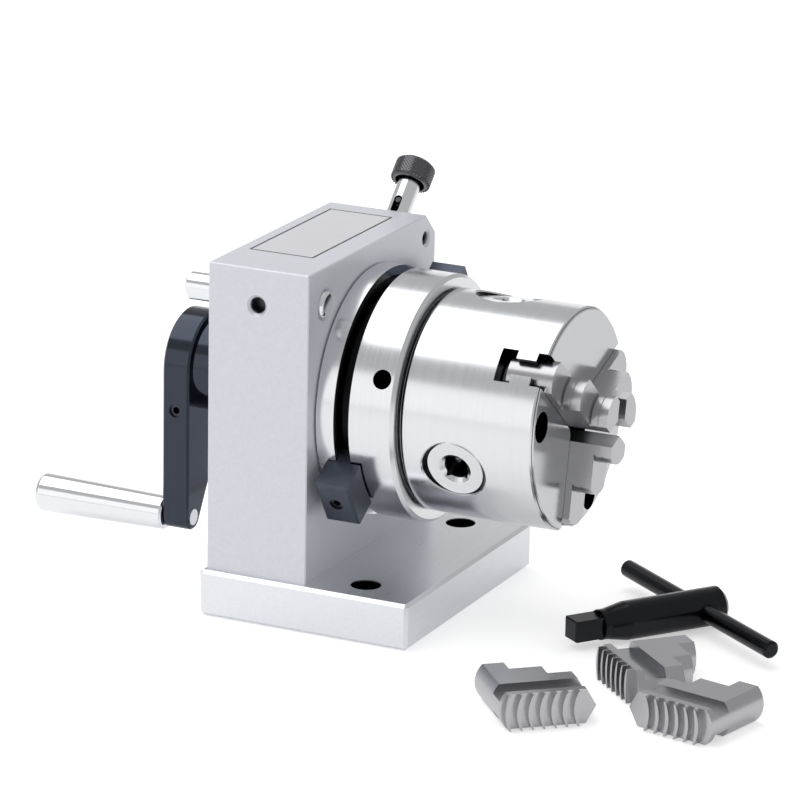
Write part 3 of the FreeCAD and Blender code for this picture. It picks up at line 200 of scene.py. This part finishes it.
def dark_border(finish, low, high, width):
    """Blacken the points outside a smaller rectangle, seen along Z."""
    tree = finish.node_tree
    shader = tree.nodes["Principled BSDF"]
    place = tree.nodes.new("ShaderNodeTexCoord")
    split = tree.nodes.new("ShaderNodeSeparateXYZ")
    tree.links.new(place.outputs["Object"], split.inputs["Vector"])
    shown = None
    for axis, first, last in (("X", low[0], high[0]), ("Y", low[1], high[1])):
        after = compare(tree, split.outputs[axis], "GREATER_THAN", first + width)
        before = compare(tree, split.outputs[axis], "LESS_THAN", last - width)
        strip = multiplied(tree, after, before)
        shown = strip if shown is None else multiplied(tree, shown, strip)
    shade = tree.nodes.new("ShaderNodeMix")
    shade.data_type = "RGBA"
    shade.inputs["A"].default_value = (*BORDER_INK, 1)
    tree.links.new(shader.inputs["Base Color"].links[0].from_socket, shade.inputs["B"])
    tree.links.new(shown, shade.inputs["Factor"])
    tree.links.new(shade.outputs["Result"], shader.inputs["Base Color"])


# %% The finishes of this tool
GROUND = machined("ground_steel", (0.86, 0.87, 0.91), 0.30, (900, 60, 900), 0.25, metallic=0.85)
SATIN = machined("satin_block", (0.80, 0.81, 0.87), 0.42, (700, 700, 700), 0.12, metallic=0.35)
TURNED = machined("turned_steel", (0.78, 0.79, 0.81), 0.20, (2600, 12, 12), 0.30)
MATTE = machined("jaw_steel", (0.50, 0.50, 0.52), 0.26, (900, 900, 900), 0.10, 0.02, shade=0.03)
CHROME, _, _ = metal("chrome_plate", (0.84, 0.85, 0.87), 0.12)
PLATE = machined("bare_plate", (0.84, 0.84, 0.88), 0.24, (60, 1200, 60), 0.1, metallic=0.3)
BRONZE, _, _ = metal("bronze", (0.62, 0.42, 0.20), 0.35)
SPRING, _, _ = metal("spring_steel", (0.42, 0.42, 0.44), 0.3)
BLACK = machined("black_oxide", (0.060, 0.064, 0.075), 0.32, (700, 700, 700), 0.15)
PAINT = machined("dark_gloss", (0.050, 0.058, 0.075), 0.14, (900, 20, 20), 0.12)
KNOB_BLACK = machined("knob_black", (0.13, 0.13, 0.14), 0.26, (500, 500, 500), 0.2)
DOG_BLACK = machined("dog_black", (0.080, 0.090, 0.115), 0.36, (700, 700, 700), 0.15)
KEY_BLACK = machined("key_black", (0.026, 0.027, 0.030), 0.24, (700, 700, 700), 0.2)

# %% Give each CAD piece the finish of its material slot
FINISHES = {
    "ground_steel": GROUND, "satin_block": SATIN, "turned_steel": TURNED, "jaw_steel": MATTE,
    "chrome_plate": CHROME, "bare_plate": PLATE, "bronze": BRONZE, "spring_steel": SPRING,
    "black_oxide": BLACK, "dark_paint": PAINT,
}
for part in frame["record"]["subparts"]:
    piece = nodes[part["node"]]
    piece.data.materials.clear()
    piece.data.materials.append(FINISHES[part["material_slot"]])

# %% Pieces with a blackened finish of their own
for name, finish in (("plunger_cross_pin", BLACK), ("plunger_knob", KNOB_BLACK),
                     ("key_body", KEY_BLACK), ("key_bar", KEY_BLACK),
                     ("stop_dog_near", DOG_BLACK), ("stop_dog_far", DOG_BLACK)):
    nodes[name].data.materials[0] = finish

# %% [markdown]
# ## Where shade is painted on the steel
#
# Each hollow below is a cylinder of painted shade: a point on its axis, the way that the axis runs,
# its radius, and where it starts and ends. The dogs' groove and the gap behind the chuck lie round
# the spindle's axis. The key sockets, the tommy-bar hole and the plunger's slot have axes of their
# own. The same step paints a faint shade onto the chuck's front face, so it is a little darker.

# %% A finish with painted shade in its hollows, for one piece
AXIS_POINT = (0, 0, AXIS_HEIGHT)
ALONG = (1, 0, 0)
UPWARD = (0, 0, 1)


def with_painted_shade(node, source, name, *hollows):
    """Copy a finish for one piece, and paint shade into its hollows."""
    finish = source.copy()
    finish.name = name
    for hollow in hollows:
        paint_shade_in_hollow(finish, *hollow)
    nodes[node].data.materials[0] = finish


def outward(angle):
    """The direction at an angle round the spindle, counted from +Y towards +Z."""
    return (0, math.cos(math.radians(angle)), math.sin(math.radians(angle)))


# %% Painted shade in the groove and gap round the spindle, and in the tommy-bar hole
GROOVE_SHADE = (AXIS_POINT, ALONG, 41.5 * MM, 6 * MM, 14.4 * MM)
CHUCK_GAP_SHADE = (AXIS_POINT, ALONG, 38.6 * MM, 30.05 * MM, 31.3 * MM)
BAR_HOLE_SHADE = ((24.3 * MM, 0, AXIS_HEIGHT), outward(157.6), 3.6 * MM, 20 * MM, 44.3 * MM)
with_painted_shade("spindle", TURNED, "spindle_steel", GROOVE_SHADE)
with_painted_shade("chuck_adapter", TURNED, "adapter_steel", CHUCK_GAP_SHADE, BAR_HOLE_SHADE)
print("Dark groove from", round(GROOVE_SHADE[3] / MM, 1), "to", round(GROOVE_SHADE[4] / MM, 1), "mm")

# %% Painted shade inside the plunger's sleeve, which shows through its slot
PLUNGER_POINT = (KNOB_CENTRE.x, 0, AXIS_HEIGHT)
SLEEVE_INSIDE = 4.1 * MM
with_painted_shade("plunger_sleeve", CHROME, "sleeve_chrome",
         (PLUNGER_POINT, PLUNGE, SLEEVE_INSIDE, 60 * MM, 80 * MM))
with_painted_shade("plunger_pin", TURNED, "plunger_pin_steel",
         (PLUNGER_POINT, PLUNGE, SLEEVE_INSIDE, 60 * MM, 84 * MM))

# %% Painted shade inside the chuck and on its front face
# The chuck's inside gets black painted shade, and its front face a faint painted shade, darker than
# the barrel.
FACE_PAINTED_SHADE = (0.58, 0.585, 0.60)
CHUCK_INSIDE_SHADE = (AXIS_POINT, ALONG, CHUCK_RADIUS - 0.6 * MM, 32 * MM, 81 * MM)
CHUCK_FACE_SHADE = (AXIS_POINT, ALONG, CHUCK_RADIUS, 81.3 * MM, 81.6 * MM, FACE_PAINTED_SHADE)
with_painted_shade("chuck_body", TURNED, "chuck_steel", CHUCK_INSIDE_SHADE, CHUCK_FACE_SHADE)

# %% Painted shade in the bolt holes of the base
BOLT_X = 18.5 * MM
BOLT_Y = 39.5 * MM
with_painted_shade("base_plate", GROUND, "base_steel",
         *[((BOLT_X, side, 0), UPWARD, 5.7 * MM, 0.5 * MM, 16.6 * MM)
           for side in (-BOLT_Y, BOLT_Y)])

# %% Painted shade in the key sockets of the three pinions
PINION_X = 50.5 * MM
PINION_ANGLES = (-40, 80, 200)
for number, angle in enumerate(PINION_ANGLES, 1):
    with_painted_shade(f"pinion_{number}", TURNED, f"pinion_steel_{number}",
             ((PINION_X, 0, AXIS_HEIGHT), outward(angle), 4.6 * MM, 20 * MM, 37.4 * MM))
print("Pieces with dark hollows:", 6 + len(PINION_ANGLES))

# %% Border round the bare plate on the block
BORDER_WIDTH = 0.7 * MM
plate_low, plate_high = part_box("top_plate")
dark_border(PLATE, plate_low, plate_high, BORDER_WIDTH)
print("Bare plate", [round(v / MM, 1) for v in Vector(plate_high) - Vector(plate_low)], "mm")

# %% [markdown]
# ## Knurl on the plunger's knob
#
# Fingers grip the knob by a diamond knurl. It is far too fine to draw line by line, but each
# diamond is the same small pyramid, so one is made from a four-sided cone and copied round and
# along the knob, with every second row turned by half a step.

# %% Knurl sizes
KNOB_RADIUS = 7.3 * MM
KNURL_AROUND = 36
KNURL_ROWS = 12
KNURL_FROM = 84.8 * MM
KNURL_TO = 92.6 * MM
KNURL_HEIGHT = 0.60 * MM
knurl_row = (KNURL_TO - KNURL_FROM) / KNURL_ROWS
knurl_step = 2 * math.pi / KNURL_AROUND

# %% One diamond, copied round the knob
bpy.ops.mesh.primitive_cone_add(vertices=4, radius1=1, radius2=0, depth=1, location=(0, 0, 0.5))
diamond = bpy.context.object
only(diamond)
bpy.ops.object.mode_set(mode="EDIT")
bpy.ops.mesh.select_all(action="SELECT")
bpy.ops.transform.resize(value=(knurl_row, KNOB_RADIUS * knurl_step / 2, KNURL_HEIGHT))
bpy.ops.object.mode_set(mode="OBJECT")
shape = diamond.data.copy()
bpy.data.objects.remove(diamond)
onto_spindle = Matrix.Translation(Vector(PLUNGER_POINT))
lean = PLUNGE.to_track_quat("X", "Z").to_matrix().to_4x4()
stand = Matrix.Translation(Vector((0, 0, KNOB_RADIUS)))
diamonds = []
for row in range(KNURL_ROWS - 1):
    for step in range(KNURL_AROUND):
        turn = Matrix.Rotation(knurl_step * (step + 0.5 * (row % 2)), 4, "X")
        spot = Matrix.Translation(Vector((KNURL_FROM + knurl_row * (row + 1), 0, 0)))
        copy = bpy.data.objects.new("diamond", shape.copy())
        copy.data.transform(onto_spindle @ lean @ spot @ turn @ stand)
        scene.collection.objects.link(copy)
        diamonds.append(copy)
bpy.ops.object.select_all(action="DESELECT")
for copy in diamonds:
    copy.select_set(True)
bpy.context.view_layer.objects.active = diamonds[0]
bpy.ops.object.join()
knurl = bpy.context.object
knurl.name = "knob_knurl"
knurl.data.materials.clear()
knurl.data.materials.append(KNOB_BLACK)
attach(knurl, "plunger")
print("Knurl faces:", len(knurl.data.polygons))

# %% [markdown]
# ## Camera
#
# The photo was taken with a long lens, from the near right and a little above. The camera's place
# and turn were solved from the edges of the base plate and the circles of the chuck.

# %% Camera
CAMERA_PLACE = Vector((0.7259, -1.5047, 0.5810))
CAMERA_AZIMUTH = math.radians(25.39)
CAMERA_HEIGHT = math.radians(16.94)
CAMERA_ROLL = math.radians(1.04)
FOCAL_LENGTH = 219.3
SENSOR_WIDTH = 36
back = Vector((math.sin(CAMERA_AZIMUTH) * math.cos(CAMERA_HEIGHT),
               -math.cos(CAMERA_AZIMUTH) * math.cos(CAMERA_HEIGHT), math.sin(CAMERA_HEIGHT)))
right = Vector((math.cos(CAMERA_AZIMUTH), math.sin(CAMERA_AZIMUTH), 0))
up = back.cross(right)
rolled_right = right * math.cos(CAMERA_ROLL) + up * math.sin(CAMERA_ROLL)
rolled_up = up * math.cos(CAMERA_ROLL) - right * math.sin(CAMERA_ROLL)
lens = bpy.data.cameras.new("camera")
lens.lens = FOCAL_LENGTH
lens.sensor_width = SENSOR_WIDTH
camera = bpy.data.objects.new("camera", lens)
camera.matrix_world = Matrix.Translation(CAMERA_PLACE) @ Matrix(
    (rolled_right, rolled_up, back)).transposed().to_4x4()
scene.collection.objects.link(camera)
scene.camera = camera
print("Camera", round(CAMERA_PLACE.length, 2), "m from the middle of the base")

# %% [markdown]
# ## Studio
#
# Bright metal shows its surroundings more than itself. The pale bands on the chuck are large soft
# lamps, and the darker bands are the gaps between them, so the lamps are placed for their
# reflections. The floor is lit as plain paper. For the camera and for the metal's reflections a
# glow makes it white, so the object's shadow stays on it and the object gets no more light.

# %% White floor
FLOOR_SIZE = 30
FLOOR_HEIGHT = -0.4 * MM
bpy.ops.mesh.primitive_plane_add(size=FLOOR_SIZE, location=(0, 0, FLOOR_HEIGHT))
floor = bpy.context.object
floor.name = "floor"
paper, paper_tree, paper_shader = metal("paper", (0.92, 0.92, 0.92), 0.95, metallic=0.0)
paper_shader.inputs["Specular IOR Level"].default_value = 0
paper_shader.inputs["Emission Color"].default_value = (1, 1, 1, 1)
floor.data.materials.append(paper)

# %% Glow of the floor, by who looks at it
GLOW_IN_METAL = 0.25
GLOW_TO_CAMERA = 0.50
rays = paper_tree.nodes.new("ShaderNodeLightPath")
mirrored = paper_tree.nodes.new("ShaderNodeMath")
mirrored.operation = "MAXIMUM"
paper_tree.links.new(rays.outputs["Is Glossy Ray"], mirrored.inputs[0])
paper_tree.links.new(rays.outputs["Is Transmission Ray"], mirrored.inputs[1])
dimmed = paper_tree.nodes.new("ShaderNodeMath")
dimmed.operation = "MULTIPLY"
dimmed.inputs[1].default_value = GLOW_IN_METAL
paper_tree.links.new(mirrored.outputs["Value"], dimmed.inputs[0])
glow = paper_tree.nodes.new("ShaderNodeMath")
glow.operation = "MULTIPLY_ADD"
glow.inputs[1].default_value = GLOW_TO_CAMERA
paper_tree.links.new(rays.outputs["Is Camera Ray"], glow.inputs[0])
paper_tree.links.new(dimmed.outputs["Value"], glow.inputs[2])
paper_tree.links.new(glow.outputs["Value"], paper_shader.inputs["Emission Strength"])

# %% World
SKY_STRENGTH = 0.50
world = bpy.data.worlds.new("studio")
scene.world = world
world.use_nodes = True
sky = world.node_tree.nodes["Background"]
sky.inputs["Color"].default_value = (1, 1, 1, 1)
sky.inputs["Strength"].default_value = SKY_STRENGTH


# %% Lamps
LAMP_AIM = Vector((0.02, 0, 0.07))


def lamp(name, azimuth, height, away, size, brightness):
    """A soft lamp that faces the object, turned from the near side towards the chuck's side."""
    light = bpy.data.lights.new(name, "AREA")
    light.shape = "RECTANGLE"
    light.size, light.size_y = size
    light.energy = brightness * math.pi * size[0] * size[1]
    turn, rise = math.radians(azimuth), math.radians(height)
    way = Vector((math.sin(turn) * math.cos(rise), -math.cos(turn) * math.cos(rise),
                  math.sin(rise)))
    holder = bpy.data.objects.new(name, light)
    holder.location = way * away + LAMP_AIM
    holder.rotation_mode = "QUATERNION"
    holder.rotation_quaternion = way.to_track_quat("Z", "Y")
    scene.collection.objects.link(holder)
    print("Lamp", name, round(light.energy, 1), "W")


lamp("top_softbox", -90, 66, 1.4, (1.6, 1.3), 1.45)
lamp("front_fill", -30, 14, 1.8, (1.6, 0.9), 0.62)
lamp("back_fill", -155, 6, 2.4, (1.8, 0.6), 0.5)

# %% Plain view settings
scene.view_settings.view_transform = "Standard"
